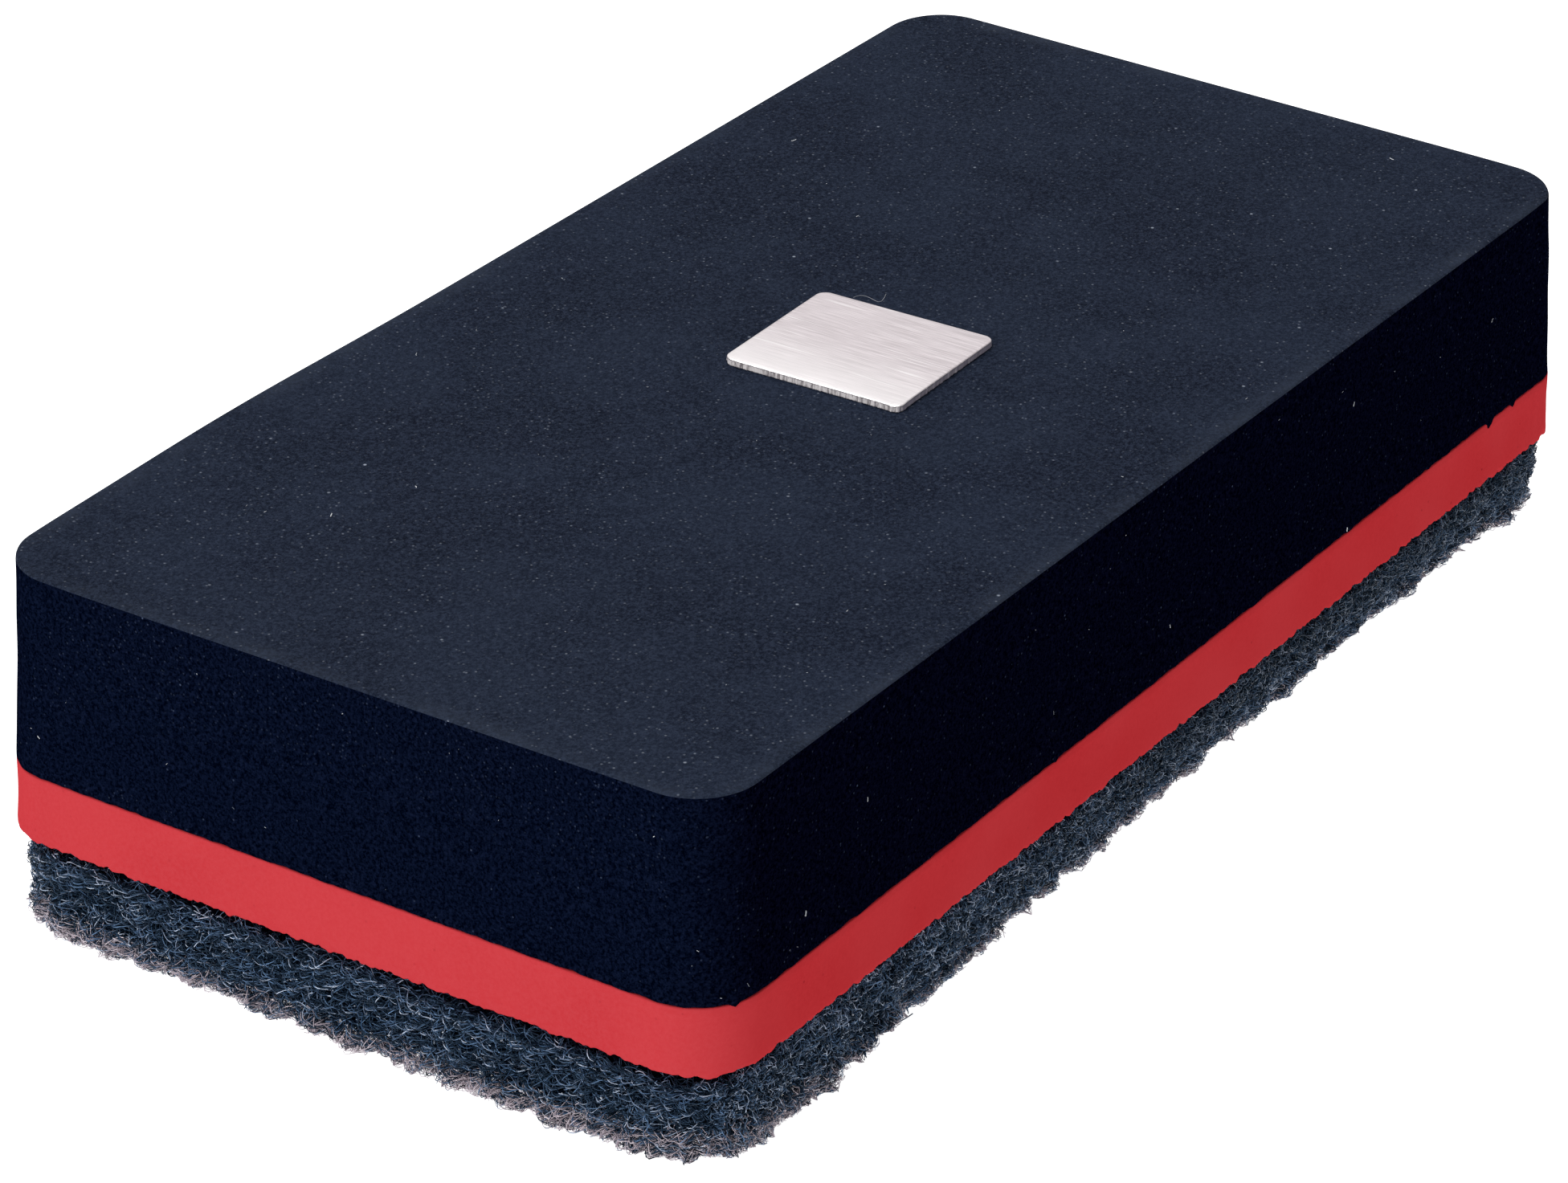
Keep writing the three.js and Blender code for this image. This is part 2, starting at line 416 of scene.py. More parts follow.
class Look:
    """Builds one material's nodes with short calls."""

    def __init__(self, name):
        self.material = bpy.data.materials.new(name)
        self.material.use_nodes = True
        self.tree = self.material.node_tree
        self.tree.nodes.clear()

    def node(self, kind, settings=None, **values):
        """Adds a node. A value may be a number, a colour or another node's output."""
        made = self.tree.nodes.new("ShaderNode" + kind)
        for key, value in (settings or {}).items():
            setattr(made, key, value)
        for key, value in values.items():
            self.feed(made.inputs[key.replace("_", " ")], value)
        return made

    def feed(self, socket, value):
        if isinstance(value, bpy.types.NodeSocket):
            self.tree.links.new(value, socket)
        else:
            socket.default_value = value

    def place(self, stretch=(1, 1, 1)):
        """The point in the object's own frame, in millimetres, stretched along each axis."""
        scale = tuple(value / MM for value in stretch)
        where = self.node("TexCoord").outputs["Object"]
        return self.node("Mapping", Vector=where, Scale=scale).outputs["Vector"]

    def axes(self):
        """The x, y and z of the point, by name or by number."""
        return self.node("SeparateXYZ", Vector=self.place()).outputs

    def noise(self, cells_per_mm, detail=3.0, stretch=(1, 1, 1), roughness=0.5):
        where = self.place(stretch)
        made = self.node("TexNoise", Vector=where, Scale=cells_per_mm, Detail=detail, Roughness=roughness)
        return made.outputs["Fac"]

    def maths(self, operation, first, second):
        made = self.node("Math", {"operation": operation})
        self.feed(made.inputs[0], first)
        self.feed(made.inputs[1], second)
        return made.outputs[0]

    def spread(self, value, low, high, to_low=0.0, to_high=1.0):
        """The value moved from the range low to high to the range to_low to to_high, and held in it."""
        ends = {"From_Min": low, "From_Max": high, "To_Min": to_low, "To_Max": to_high}
        return self.node("MapRange", Value=value, **ends).outputs["Result"]

    def times(self, first, second):
        return self.maths("MULTIPLY", first, second)

    def mix(self, share, first, second):
        """Mixes two colours, each another node's output or three values as a screen shows them."""
        made = self.node("Mix", {"data_type": "RGBA"})
        self.feed(made.inputs[0], share)
        for socket, colour in zip(made.inputs[6:8], (first, second)):
            self.feed(socket, srgb(*colour) if isinstance(colour, tuple) else colour)
        return made.outputs[2]

    def specks(self, cells_per_mm, size, rarity):
        """Scattered dots of different strengths, of which few are strong."""
        where = self.place()
        cells = self.node("TexVoronoi", Vector=where, Scale=cells_per_mm)
        dots = self.spread(cells.outputs["Distance"], size, size / 3)
        strength = self.node("SeparateColor", Color=cells.outputs["Color"]).outputs["Red"]
        return self.times(dots, self.maths("POWER", strength, rarity))

    def border(self, width):
        """0 well inside the foam's outline, rising to 1 at its edge over this width in millimetres."""
        half = box_mm("black_foam_body")[1]
        where = self.axes()
        out = [self.maths("ABSOLUTE", where[k], 0.0) for k in (0, 1)]
        past = [self.maths("SUBTRACT", out[k], half[k] - width) for k in (0, 1)]
        return self.spread(self.maths("MAXIMUM", *past), 0.0, width)

    def on_ends(self):
        """1 where the surface faces along the length, 0 where it faces across. It places painted sheen and
        shade by which way a surface faces.
        """
        facing = self.node("SeparateXYZ", Vector=self.node("NewGeometry").outputs["Normal"]).outputs
        return self.maths("ABSOLUTE", facing["X"], 0.0)

    def painted_shade_under_red(self):
        """1 on the upper rear part of the pad's long sides, where shade is painted, and 0 elsewhere."""
        low, high = box_mm("wiping_pad")
        where = self.axes()
        out = self.maths("ABSOLUTE", where["Y"], 0.0)
        side = self.spread(out, *(high[1] - depth for depth in SHADE_DEPTHS))
        rear = self.spread(where["X"], *(low[0] + past for past in SHADE_FROM_FRONT))
        above = self.spread(where["Z"], *(share * high[2] for share in SHADE_HEIGHTS))
        return self.times(side, self.times(rear, above))

    def bump(self, height, depth, strength=1.0):
        return self.node("Bump", Height=height, Distance=depth * MM, Strength=strength).outputs["Normal"]

    def finish(self, base, roughness, **values):
        """Ends the material in a Principled shader with these values."""
        shader = self.node("BsdfPrincipled", Base_Color=base, Roughness=roughness, **values)
        self.node("OutputMaterial", Surface=shader.outputs["BSDF"])
        return self.material


def srgb(red, green, blue):
    """A linear colour from the 0 to 255 values that a screen shows."""
    shares = [value / 255 for value in (red, green, blue)]
    return tuple(s / 12.92 if s <= 0.04045 else ((s + 0.055) / 1.055) ** 2.4 for s in shares) + (1.0,)


def black_foam_skin():
    """The moulded top skin: matt charcoal with a fine grain, pale specks that are painted glints off its
    cells, and soft cloudy patches.
    """
    look = Look("black_foam_skin")
    clouds = look.spread(look.noise(0.075, 4.0, roughness=0.6), 0.4, 0.6)
    grain = look.spread(look.noise(4.2, 3.0, roughness=0.9), 0.42, 0.62)
    base = look.mix(clouds, (6, 12, 26), (17, 24, 38))
    rim = look.times(look.border(BORDER_WIDTH), look.spread(look.noise(0.25, 2.0), 0.3, 0.7))
    base = look.mix(look.times(rim, 0.5), base, (50, 56, 67))
    base = look.mix(look.times(grain, 0.72), base, (43, 51, 68))
    # Pale specks: painted glints off the skin's cells.
    dim = look.times(look.specks(2.2, 0.26, 3.0), 0.36)
    bright = look.specks(0.45, 0.07, 3.0)
    base = look.mix(look.maths("MAXIMUM", dim, bright), base, (142, 149, 162))
    relief = look.bump(look.noise(3.2, 3.0), 0.03, 0.4)
    return look.finish(base, 0.92, Specular_IOR_Level=0.06, Normal=relief)


def black_foam_cut():
    """The knife-cut sides: nearly black closed cells with a faint blue grain, lighter on the ends with
    painted sheen and darkest along the length with painted shade.
    """
    look = Look("black_foam_cut")
    grain = look.spread(look.noise(3.6, 2.0, roughness=0.9), 0.38, 0.7)
    # Painted light: the ends get a lighter, bluer painted sheen and the long sides a darker painted shade.
    ends = look.mix(grain, (0, 2, 11), (13, 20, 40))
    shaded_long_sides = look.mix(grain, (0, 0, 5), (7, 9, 26))
    base = look.mix(look.on_ends(), shaded_long_sides, ends)
    dim = look.times(look.specks(2.4, 0.24, 5.0), 0.4)
    base = look.mix(look.maths("MAXIMUM", dim, look.specks(0.6, 0.06, 4.0)), base, (60, 70, 92))
    relief = look.bump(look.noise(3.0, 4.0), 0.05, 0.5)
    return look.finish(base, 0.95, Specular_IOR_Level=0.0, Normal=relief)


def red_foam():
    """Red closed-cell foam with a fine even grain and a few dull pores, and a painted sheen that makes its
    ends a little paler.
    """
    look = Look("red_foam")
    grain = look.spread(look.noise(3.4, 4.0, roughness=0.7), 0.35, 0.65)
    clouds = look.spread(look.noise(0.12, 2.0), 0.35, 0.65)
    # Painted sheen: the ends get a paler, hazier red than the long sides.
    base = look.mix(look.on_ends(), (178, 46, 51), (175, 55, 61))
    base = look.mix(look.times(grain, 0.5), base, (168, 37, 43))
    base = look.mix(look.times(clouds, 0.3), base, (184, 60, 65))
    base = look.mix(look.specks(0.8, 0.12, 5.0), base, (112, 20, 28))
    relief = look.bump(look.noise(3.2, 4.0), 0.03, 0.4)
    return look.finish(base, 0.9, Specular_IOR_Level=0.0, Normal=relief)


def brushed_steel():
    """Steel brushed across the eraser's width, with a few longer scratches, and a painted highlight that
    brightens it towards its front edge."""
    look = Look("brushed_steel")
    lines = look.noise(1.0, 3.0, stretch=(10, 0.2, 10), roughness=0.8)
    scratches = look.spread(look.noise(1.0, 2.0, stretch=(5, 0.1, 5)), 0.62, 0.7)
    base = look.mix(look.spread(lines, 0.38, 0.62), (198, 188, 191), (230, 221, 224))
    low, high = box_mm("badge_plate")
    # Painted highlight: the face is lightened from its middle to its front edge.
    front = look.spread(look.axes()["X"], (low + high)[0] / 2, low[0])
    base = look.mix(look.times(front, 0.7), base, (250, 246, 246))
    base = look.mix(look.times(scratches, 0.5), base, (252, 250, 250))
    rough = look.spread(lines, 0.3, 0.7, 0.3, 0.44)
    relief = look.bump(lines, 0.02, 0.3)
    return look.finish(base, rough, Metallic=1.0, Normal=relief)


def sheared_steel():
    """The punched rim of the badge: vertical shear marks, with painted shade and reflection giving the two
    sides a flat, darker mauve grey.
    """
    look = Look("sheared_steel")
    marks = look.noise(1.0, 4.0, stretch=(3.5, 3.5, 0.6), roughness=0.7)
    base = look.mix(look.spread(marks, 0.38, 0.54), (134, 127, 130), (238, 232, 232))
    # Painted shade and reflection: the side walls get one flat, darker mauve grey in place of the marks'
    # colour.
    base = look.mix(look.on_ends(), (158, 149, 166), base)
    rough = look.spread(marks, 0.3, 0.7, 0.6, 0.4)
    relief = look.bump(marks, 0.03, 0.5)
    return look.finish(base, rough, Metallic=0.1, Normal=relief)


def web_fibre(name, dark, light, rarity=3.4, rough=0.3):
    """Coarse nylon fibre, with painted shade on the upper rear part of the long sides. Each fibre has its
    own shade, the light ones rarer the greater the rarity."""
    look = Look(name)
    shade = look.node("NewGeometry").outputs["Random Per Island"]
    coating = look.spread(look.noise(2.6, 2.0), 0.42, 0.62)
    base = look.mix(look.maths("POWER", shade, rarity), dark, light)
    base = look.mix(look.times(coating, 0.6), base, dark)
    # Painted shade: the upper rear of the long sides is darkened towards navy, as the red layer above
    # shades it.
    base = look.mix(look.times(look.painted_shade_under_red(), 0.55), base, (0, 7, 24))
    return look.finish(base, rough, Specular_IOR_Level=0.35, Specular_Tint=GLINT_TINT)


def web_core():
    """The unlit inside of the web, seen between the fibres."""
    look = Look("web_core")
    tangle = look.noise(1.0, 4.0, stretch=(1.2, 1.2, 3.0), roughness=0.75)
    base = look.mix(look.spread(tangle, 0.35, 0.7), (0, 5, 16), (9, 20, 37))
    relief = look.bump(tangle, 0.4, 0.9)
    return look.finish(base, 1.0, Specular_IOR_Level=0.05, Normal=relief)


def resin_bead():
    """Dried binder beads on the fibres, glinting from the shader and with a near-white colour that is a
    painted glint.
    """
    look = Look("resin_bead")
    cloud = look.noise(2.0, 2.0)
    # Near-white base colour: painted glint on top of the shader's own.
    base = look.mix(cloud, (120, 130, 146), (216, 220, 228))
    return look.finish(base, 0.3, Specular_IOR_Level=0.6)


def hook_plastic():
    """Black nylon hook tape, slightly dusty on its backing."""
    look = Look("hook_plastic")
    dust = look.spread(look.noise(0.6, 4.0), 0.5, 0.75)
    base = look.mix(look.times(dust, 0.35), (22, 23, 26), (88, 88, 90))
    weave = look.noise(1.0, 1.0, stretch=(4, 1.2, 4))
    return look.finish(base, 0.55, Normal=look.bump(weave, 0.05, 0.5))


def nickel_plate():
    """Nickel-plated magnet with a barrel-tumbled surface and small chips."""
    look = Look("nickel_plate")
    tumbled = look.noise(1.2, 4.0)
    base = look.mix(look.spread(tumbled, 0.3, 0.7), (188, 188, 190), (222, 222, 224))
    base = look.mix(look.specks(0.8, 0.1, 4.0), base, (90, 90, 94))
    rough = look.spread(tumbled, 0.3, 0.7, 0.14, 0.3)
    return look.finish(base, rough, Metallic=1.0, Normal=look.bump(tumbled, 0.02, 0.3))


def clear_adhesive():
    """Milky acrylic adhesive film with streaks from the roller."""
    look = Look("clear_adhesive")
    streaks = look.noise(1.0, 3.0, stretch=(0.15, 1.4, 1.0))
    base = look.mix(look.spread(streaks, 0.3, 0.7), (204, 198, 182), (228, 224, 210))
    return look.finish(base, 0.35, Normal=look.bump(streaks, 0.03, 0.5))


def lint(name, dark):
    """Pale dust and short textile fibres, each with its own shade from dark to nearly white."""
    look = Look(name)
    shade = look.node("NewGeometry").outputs["Random Per Island"]
    base = look.mix(look.maths("POWER", shade, 2.0), dark, (214, 216, 220))
    return look.finish(base, 0.8)


def floor_paint():
    """Plain white light-table floor."""
    look = Look("floor_paint")
    cloud = look.noise(0.02, 2.0)
    base = look.mix(cloud, (188, 188, 188), (192, 192, 192))
    glow = {"Emission_Color": (1.0, 1.0, 1.0, 1.0), "Emission_Strength": FLOOR_GLOW}
    return look.finish(base, 0.95, Specular_IOR_Level=0.1, **glow)


# -------- frame measures


def box_mm(node):
    """The low and high corners of a node's box, in millimetres."""
    low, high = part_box(node)
    return np.array(low) / MM, np.array(high) / MM


def plan_of(node, radius):
    low, high = box_mm(node)
    length, width = (high - low)[:2]
    return Plan(length, width, radius)


# -------- foam holder


def cut_rings(plan, rows, stops, upright_at=None):
    """Rings of points for rows of (inset, height), each either a number or an array round the plan.
    Below the height upright_at the sides lean out, as a knife leaves a thick foam block, and the front
    left and rear right corners lean out more."""
    points, normals = plan.at(stops)
    rings = []
    for inset, height in rows:
        if upright_at is not None:
            lean = SIDE_LEAN + CORNER_LEAN * np.clip(-2 * normals.prod(1), 0, 1)
            inset = inset - lean * (upright_at - height)
        flat = points - normals * (np.zeros(len(stops)) + inset)[:, None]
        rings.append(np.column_stack([flat, np.zeros(len(stops)) + height]))
    return np.array(rings)


def out_of_square(points):
    """The points with the left side bulged and tapered and the rear end slanted, fading out inwards,
    and with two corners cut rounder, the rear one only near the top."""
    *half, top = box_mm("black_foam_body")[1]
    x, y = points[..., 0].copy(), points[..., 1].copy()
    left = np.clip((y - half[1]) / SQUARE_REACH + 1, 0, 1)
    rear = np.clip((x - half[0]) / SQUARE_REACH + 1, 0, 1)
    bulge = LEFT_BULGE * np.exp(-(((x - LEFT_BULGE_AT) / LEFT_BULGE_REACH) ** 2))
    points[..., 1] += left * (LEFT_SHIFT + bulge - LEFT_TAPER * np.maximum(x, 0))
    points[..., 0] += rear * (REAR_SHIFT + REAR_SLANT * y)
    points = pulled(points, (-half[0], half[1]), -FRONT_LEFT_CUT, BODY_CORNER_RADIUS)
    upper = np.clip(1 - (top - points[..., 2]) / REAR_CUT_HEIGHT, 0, 1)
    return pulled(points, (half[0], -half[1]), -REAR_RIGHT_CUT * upper, BODY_CORNER_RADIUS)


def side_rows(low, high, count, wave, stops):
    """Rows up a knife-cut side, which bows in a little between its two edges, each with its share of
    the way up, its inset and its height."""
    for share in np.linspace(0, 1, count):
        height = low + share * (high - low)
        inset = SIDE_BOW * math.sin(math.pi * share) + CUT_WAVE * wave(stops, height)
        yield share, inset, height


def black_foam_body():
    rng = np.random.default_rng(11)
    low, high = box_mm("black_foam_body")
    plan = plan_of("black_foam_body", BODY_CORNER_RADIUS)
    stops = plan.stops(OUTLINE_STEP)
    wave = plane_waves(rng, 14, 2.0, 14.0)
    ragged = plane_waves(rng, 18, 0.8, 4.0)
    lip = low[2] - BLACK_LIP_DROP + EDGE_WOBBLE * ragged(stops, 0.0)
    bulge = 0.0
    right_side = stops[plan.at(stops)[0][:, 1] < low[1] + BODY_CORNER_RADIUS]
    nicks = [(place, rng.uniform(0.2, 0.5)) for place in rng.uniform(0, plan.perimeter, NICK_COUNT)]
    for x, share in RIGHT_SIDE_NICKS:
        nicks.append((right_side[np.argmin(np.abs(plan.at(right_side)[0][:, 0] - x))], share))
    for place, share in nicks:
        gap = np.abs(np.mod(stops - place + plan.perimeter / 2, plan.perimeter) - plan.perimeter / 2)
        tear = np.exp(-((gap / rng.uniform(0.2, 0.4)) ** 2))
        lip = lip - NICK_DEPTH * share * tear
        bulge = bulge + NICK_BULGE * tear
    foot, crown = low[2], high[2]
    rows = [(0.6, foot), (0.42, foot), (0.3, (foot + lip) / 2)]
    rows += [(0.1 - bulge, lip - 0.02), (-bulge, lip + 0.05)]
    for share, inset, height in side_rows(foot + 0.35, crown - 0.3, BLACK_SIDE_ROWS, wave, stops):
        rows.append((inset - bulge * (share < 0.1), height))
    skin_from = len(rows)
    rows += [(inset, crown - drop) for inset, drop in FOAM_CROWN]
    rings = out_of_square(cut_rings(plan, rows, stops, crown))
    vertices, faces = close_block(rings, plan, CAP_STEP)
    wall_rows = np.repeat(np.arange(len(rows) - 1), len(stops))
    is_skin = np.concatenate([wall_rows >= skin_from, vertices[faces[1][:, 0], 2] > crown - 0.1])
    finish = [black_foam_cut(), black_foam_skin()]
    piece = make_piece("black_foam", vertices, faces, finish, "holder", is_skin)
    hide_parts("black_foam_body")


def red_foam_layer():
    rng = np.random.default_rng(23)
    low, high = box_mm("red_foam_layer")
    plan = plan_of("red_foam_layer", BODY_CORNER_RADIUS)
    stops = plan.stops(OUTLINE_STEP)
    wave = plane_waves(rng, 14, 2.0, 12.0)
    ragged = plane_waves(rng, 24, 0.5, 1.8)
    places, normals = plan.at(stops)
    long_side = np.abs(normals[:, 1]) * (0.3 + 0.7 * np.clip(places[:, 0] / high[0], 0, 1))
    bites = RED_BITE * long_side * np.maximum(ragged(stops, 9.0) + 0.3, 0)
    foot = low[2] + 2.0 * EDGE_WOBBLE * ragged(stops, 0.0) + np.minimum(bites, DEEPEST_BITE)
    rows = [(1.2, low[2]), (0.7, low[2])] + [(inset, foot + rise) for inset, rise in RED_FOOT]
    for share, inset, height in side_rows(low[2] + 0.5, high[2] - 0.12, RED_SIDE_ROWS, wave, stops):
        rows.append((0.6 * inset + 0.07 * (1 - share), height))
    rows += [(0.06, high[2] - 0.03), (0.2, high[2]), (0.35, high[2])]
    rings = out_of_square(cut_rings(plan, rows, stops, box_mm("black_foam_body")[1][2]))
    turn = -np.linspace(0, 2 * math.pi, HOLE_POINTS, endpoint=False)
    holes = []
    for node in sorted(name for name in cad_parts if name.startswith("magnet_")):
        magnet_low, magnet_high = box_mm(node)
        radius = (magnet_high[0] - magnet_low[0]) / 2 + MAGNET_HOLE_CLEARANCE
        middle = (magnet_low + magnet_high)[:2] / 2
        holes.append(middle + radius * np.stack([np.cos(turn), np.sin(turn)], 1))
    vertices, faces = close_block(rings, plan, CAP_STEP, holes=holes)
    piece = make_piece("red_foam", vertices, faces, [red_foam()], "holder")
    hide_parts("red_foam_layer")


def badge_plate():
    rng = np.random.default_rng(31)
    low, high = box_mm("badge_plate")
    plan = plan_of("badge_plate", BADGE_CORNER_RADIUS)
    stops = plan.stops(BADGE_STEP)
    tear = plane_waves(rng, 24, 0.14, 0.6)(stops, 0.0)
    thickness = high[2] - low[2]
    foot = box_mm("badge_adhesive")[0][2] + 0.02
    rows = [(0.5, low[2]), (0.3, low[2] - 0.02), (0.1, foot), (0.03 + 0.02 * tear, foot + 0.02)]
    at_foot, less_by_top = BADGE_TEAR
    for share in np.linspace(0.0, BADGE_SHEAR_TOP, 8):
        rows.append((0.02 + (at_foot - less_by_top * share) * tear, low[2] + share * thickness))
    rim = len(rows)
    rows += [(inset, high[2] - drop) for inset, drop in BADGE_DOME]
    middle = (low + high) / 2
    near_corner = (low - middle)[:2]
    rings = pulled(cut_rings(plan, rows, stops), near_corner, BADGE_SHARP_CORNER, BADGE_CORNER_RADIUS)
    vertices, faces = close_block(rings, plan, 0.8)
    turn = math.radians(BADGE_TURN_DEG)
    spin = np.array([(math.cos(turn), math.sin(turn)), (-math.sin(turn), math.cos(turn))])
    vertices[:, :2] = vertices[:, :2] @ spin + middle[:2]
    wall_rows = np.repeat(np.arange(len(rows) - 1), len(stops))
    is_face = np.concatenate([wall_rows >= rim, vertices[faces[1][:, 0], 2] > middle[2]])
    finish = [sheared_steel(), brushed_steel()]
    piece = make_piece("badge", vertices, faces, finish, "holder", is_face)
    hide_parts("badge_plate")


def hook_strip(side):
    """Hook tape: a thin backing with rows of small moulded hooks pointing down."""
    node = f"hook_strip_{side}"
    low, high = box_mm(node)
    middle = (low + high) / 2
    plan = plan_of(node, STRIP_CORNER_RADIUS)
    base = high[2] - HOOK_BACKING
    rows = [(0.08, base), (0.0, base + 0.06), (0.0, high[2] - 0.06), (0.08, high[2])]
    rings = cut_rings(plan, rows, plan.stops(0.8))
    vertices, faces = close_block(rings, plan, 6.0)
    vertices[:, :2] += middle[:2]
    finish = [hook_plastic()]
    backing = make_piece(f"hook_backing_{side}", vertices, faces, finish, "holder")
    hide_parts(node)
    reach = (high - low)[:2] / 2 - HOOK_MARGIN
    counts = np.floor(2 * reach / HOOK_PITCH).astype(int) + 1
    axes = [np.linspace(-r, r, n) for r, n in zip(reach, counts)]
    feet = np.stack(np.meshgrid(*axes), -1).reshape(-1, 2) + middle[:2]
    flips = np.where(np.arange(len(feet)) // counts[0] % 2, 1.0, -1.0)
    bend = np.array(HOOK_BEND)
    paths = np.empty((len(feet), len(bend), 3))
    paths[:, :, 0] = feet[:, None, 0] + flips[:, None] * bend[:, 0]
    paths[:, :, 1] = feet[:, None, 1]
    paths[:, :, 2] = base + bend[:, 1]
    vertices, faces = tubes(paths, np.full(len(feet), HOOK_WIRE), 4)
    make_piece(f"hooks_{side}", vertices, faces, finish, "holder")


def inner_parts():
    """The magnets and films keep their CAD shapes and get real finishes."""
    nickel = nickel_plate()
    glue = clear_adhesive()
    for name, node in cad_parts.items():
        if name.startswith("magnet_"):
            finish = nickel
        elif name.endswith("_adhesive") or name.endswith("_film"):
            finish = glue
        else:
            continue
        node.data.materials.clear()
        node.data.materials.append(finish)


# -------- fibre pad


def pad_shell():
    low, high = box_mm("wiping_pad")
    length, width, height = high - low
    plan = Plan(length + 2 * PAD_SPREAD, width + 2 * PAD_SPREAD, PAD_CORNER_RADIUS + PAD_SPREAD)
    return Shell(plan, height + PAD_PUFF, PAD_TOP_ROUND, PAD_BOTTOM_ROUND, EDGE_REACH)


def worn(points):
    """The points with the sides and ends rubbed away towards the wiping face, most along the long sides
    and at the front right corner, and with the top edge pressed down along the front. The front left
    corner is spread a little, and the rear right one more towards the wiping face."""
    low, high = box_mm("wiping_pad")
    x, y, z = (points[..., k] for k in range(3))
    least, more = SIDE_WEAR
    drop = np.clip(1 - z / high[2], 0, 1) ** WEAR_CURVE
    along = 1 - np.exp(-np.maximum(x - low[0] - FRONT_ZONE, 0) / WEAR_LENGTH)
    side = np.clip(np.abs(y) / high[1], 0, 1) ** 4
    end = np.clip(np.abs(x) / high[0], 0, 1) ** 8
    y -= np.sign(y) * (least + more * along) * drop * side
    x -= np.sign(x) * END_WEAR * drop * end
    front = np.clip((low[0] + FRONT_ZONE - x) / FRONT_FADE, 0, 1)
    z -= FRONT_GAP * front * np.clip(z / high[2], 0, 1) ** 6
    points = pulled(points, (low[0], low[1]), -FRONT_RIGHT_WEAR * drop, FRONT_RIGHT_REACH)
    points = pulled(points, (low[0], high[1]), FRONT_LEFT_SPREAD, SPREAD_REACH)
    least, more = REAR_RIGHT_SPREAD
    return pulled(points, (high[0], low[1]), least + more * drop, SPREAD_REACH)


def settled(paths, lowest=2 * FIBRE_RADIUS):
    """The paths with the low parts raised to lie on the floor."""
    paths[:, :, 2] = np.maximum(paths[:, :, 2], lowest)
    return paths


def wander(rng, count, steps, step, swing, spread, kinks=0.0):
    """Headings of crimped fibres: a start direction near the flat, with waves, a steady curl and kinks."""
    along = np.arange(steps) * step
    start = rng.normal(0, 1, (count, 1)) * spread + math.pi * rng.integers(0, 2, (count, 1))
    heading = start + rng.normal(0, 0.25, (count, 1)) * along
    for wavelength, share in ((LONG_CRIMP, swing), (SHORT_CRIMP, 0.5 * swing), (KINK_LENGTH, kinks)):
        length = wavelength * rng.uniform(0.7, 1.4, (count, 1))
        wave = np.sin(2 * math.pi * along / length + rng.uniform(0, FULL_TURN, (count, 1)))
        heading = heading + share * rng.uniform(0.3, 1.4, (count, 1)) * wave
    return heading


def on_long_side(shell, u):
    """1 on the two long sides and 0 on the ends."""
    return (np.abs(shell.plan.at(u)[1][..., 1]) > 0.7).astype(float)


def by_front_corner(shell, u):
    """1 at the two front corners, falling off along the sides and the end."""
    low, high = box_mm("wiping_pad")
    points = shell.plan.at(u)[0]
    return np.exp(-np.hypot(points[..., 0] - low[0], np.abs(points[..., 1]) - high[1]) / FRINGE_SPREAD)


def scattered(rng, shell, count, least, most_at=on_long_side):
    """Places round the pad in order, the least share of them where most_at is 0."""
    tries = rng.uniform(0, shell.plan.perimeter, 8 * count)
    kept = rng.uniform(0, 1, len(tries)) < least + (1 - least) * most_at(shell, tries)
    return np.sort(tries[kept][:count])[:, None]


def lay_fibres(rng, shell, lumps, name, kind, starts, v_range, material):
    """Lays fibres of one kind that wind through the skin of the pad, starting at starts round it and
    between the two ends of v_range."""
    count = len(starts)
    steps = int(kind.length / FIBRE_STEP) + 1
    curly = on_long_side(shell, starts)
    swing, spread = (least + more * curly for least, more in (SIDE_SWING, SIDE_SPREAD))
    heading = wander(rng, count, steps, FIBRE_STEP, swing, spread, SIDE_KINKS * curly)
    u = starts + np.cumsum(np.cos(heading), 1) * FIBRE_STEP
    v = np.abs(rng.uniform(*v_range, (count, 1)) + np.cumsum(np.sin(heading), 1) * FIBRE_STEP)
    v = shell.span - np.abs(shell.span - v)
    along = np.linspace(0, 1, steps)
    turns = 2 * math.pi * kind.length / rng.uniform(1.2, 3.2, (count, 1))
    weave = WEAVE * np.sin(turns * along + rng.uniform(0, FULL_TURN, (count, 1)))
    w = rng.uniform(*kind.depths, (count, 1)) + weave + lumps(u, v)
    w = w - rng.exponential(kind.lift, (count, 1)) * along**3
    paths = settled(worn(shell.place(u, v, w)))
    fibre_pieces(name, paths, rng.uniform(*kind.thickness, count), material)


def lay_sheet(rng, plan, name, kind, height, up, material):
    """Lays fibres in the flat middle of the top or bottom face."""
    count = kind.count
    step = 2 * FIBRE_STEP
    steps = int(kind.length / step) + 1
    heading = wander(rng, count, steps, step, 0.5, 0.0) + rng.uniform(0, FULL_TURN, (count, 1))
    start = plan.grid(0.5, EDGE_REACH - 1.0)
    start = start[rng.integers(0, len(start), count)]
    flat = start[:, None] + np.cumsum(np.stack([np.cos(heading), np.sin(heading)], -1), 1) * step
    over = np.maximum(1.2 - plan.depth(flat), 0)[..., None]
    flat = flat * (1 - over * 0.02)
    along = np.linspace(0, 1, steps)
    weave = np.sin(rng.uniform(4, 14, (count, 1)) * along + rng.uniform(0, FULL_TURN, (count, 1)))
    w = rng.uniform(*kind.depths, (count, 1)) + SHEET_WEAVE * weave
    paths = settled(worn(np.concatenate([flat, (height - up * w)[..., None]], -1)))
    fibre_pieces(name, paths, rng.uniform(*kind.thickness, count), material)


